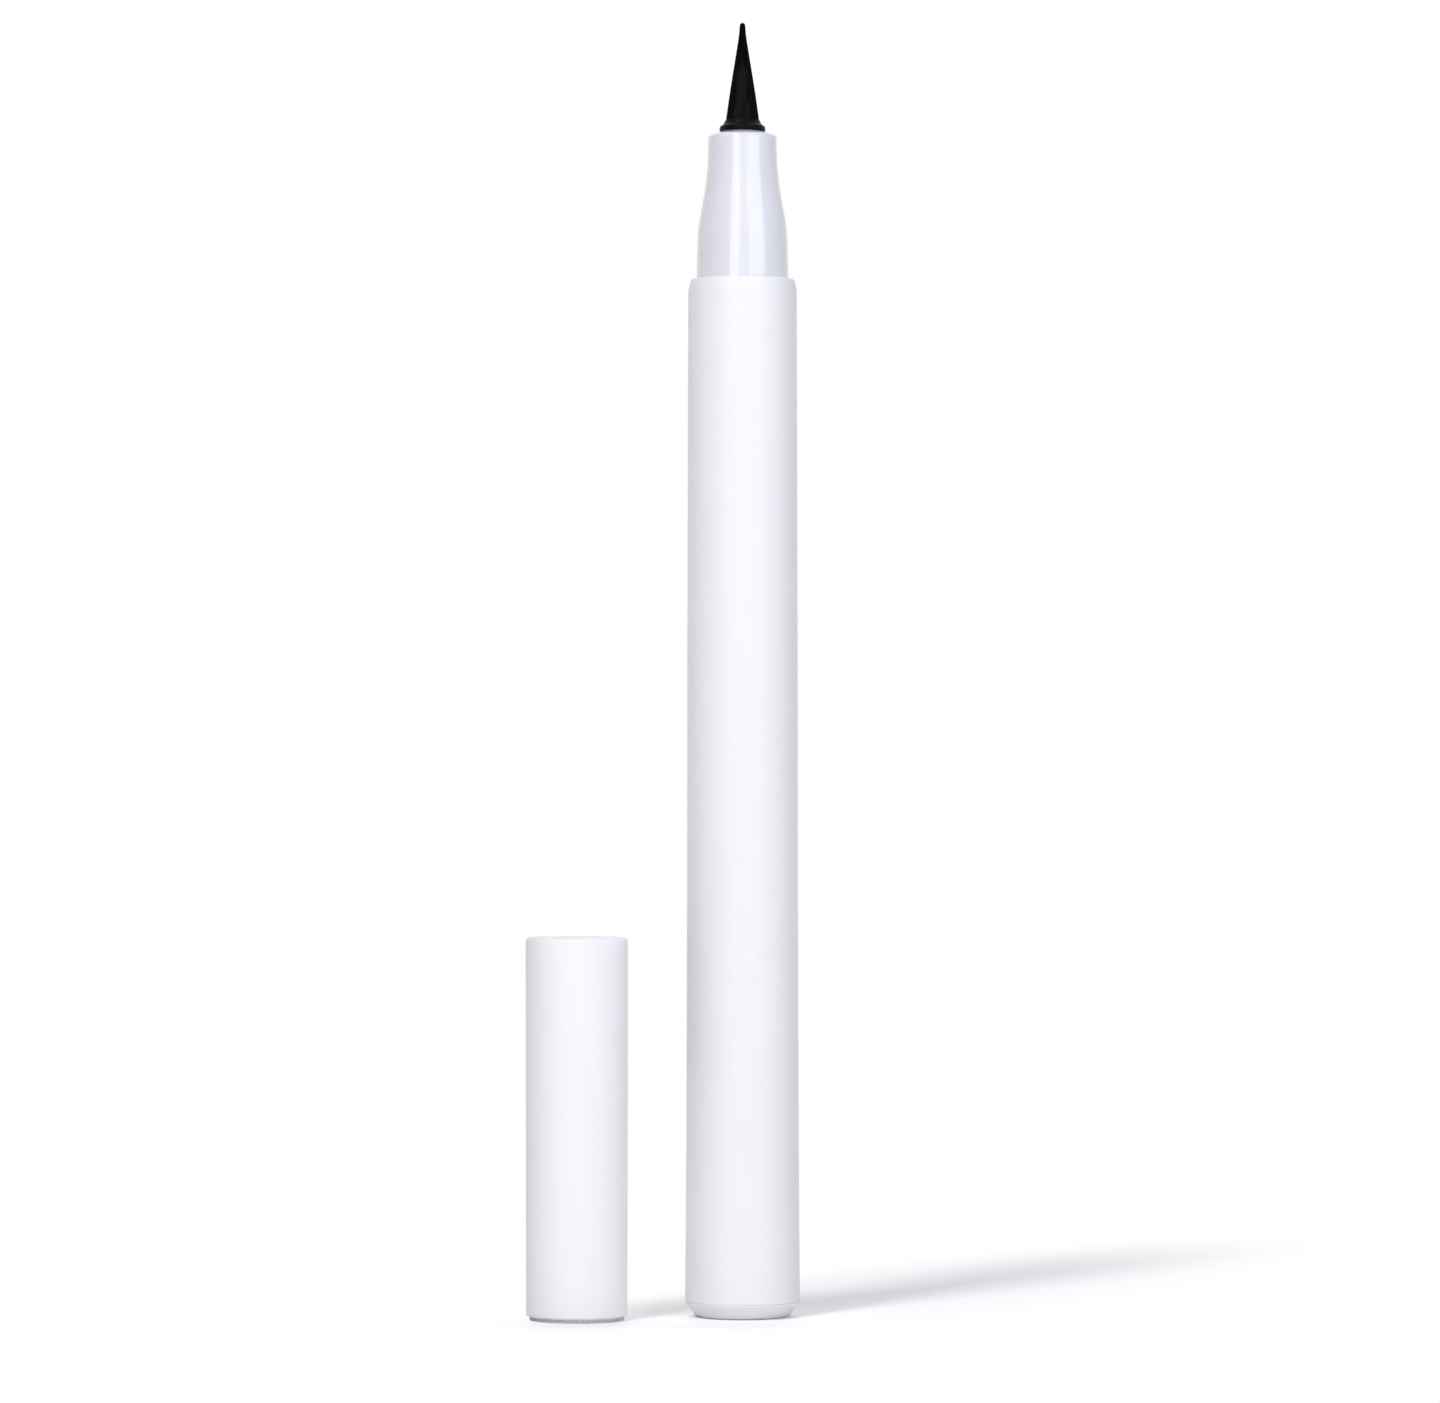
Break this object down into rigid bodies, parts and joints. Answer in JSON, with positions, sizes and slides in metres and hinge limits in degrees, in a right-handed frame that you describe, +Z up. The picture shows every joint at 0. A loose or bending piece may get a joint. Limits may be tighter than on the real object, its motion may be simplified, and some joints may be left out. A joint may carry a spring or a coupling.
{
  "type": "liquid eyeliner pen",
  "caption": "Slim white pen-type liquid eyeliner with a black brush nib, standing on its tail, and its cap taken off and standing beside it, mouth down.",
  "frame": {"origin": "centre of the flat foot of the pen's tail plug, on the surface the pen stands on", "axes": "+Z up along the pen's axis towards the nib; the cap stands on the -X side and slightly towards -Y, which is the viewer's side"},
  "size_m": [0.0262, 0.0139, 0.1241],
  "materials": {
    "barrel_white": "satin white moulded plastic, faintly cool",
    "cap_white": "satin white moulded plastic, faintly lavender",
    "nose_white": "glossy white moulded plastic with a lavender tint",
    "natural_plastic": "uncoloured translucent moulded plastic",
    "black_plastic": "black moulded plastic",
    "black_filament": "black filament bundle, damp with liner",
    "inked_fibre": "bonded fibre soaked in black liner",
    "clear_film": "thin clear film",
    "spring_steel": "bright drawn spring wire"
  },
  "bodies": {
    "pen": {"tail_plug": "barrel_white", "barrel": "barrel_white", "reservoir_sleeve": "clear_film", "reservoir_fibre": "inked_fibre", "relay_wick": "inked_fibre", "nose_section": "nose_white", "nib_holder": "natural_plastic", "nib_ferrule": "black_plastic", "brush_nib": "black_filament"},
    "cap": {"cap_shell": "cap_white", "retainer_ring": "natural_plastic", "return_spring": "spring_steel"},
    "inner_cap": {"inner_cap": "natural_plastic"}
  },
  "joints": [
    {"name": "cap_lift", "type": "slide", "parent": "pen", "child": "cap", "axis": [0, 0, 1], "range_m": [0, 0.128]},
    {"name": "inner_cap_press", "type": "slide", "parent": "cap", "child": "inner_cap", "axis": [0, 0, 1], "range_m": [0, 0.0015], "stiffness_N_per_m": 300, "springref_m": -0.005, "deforming": ["return_spring"]}
  ]
}
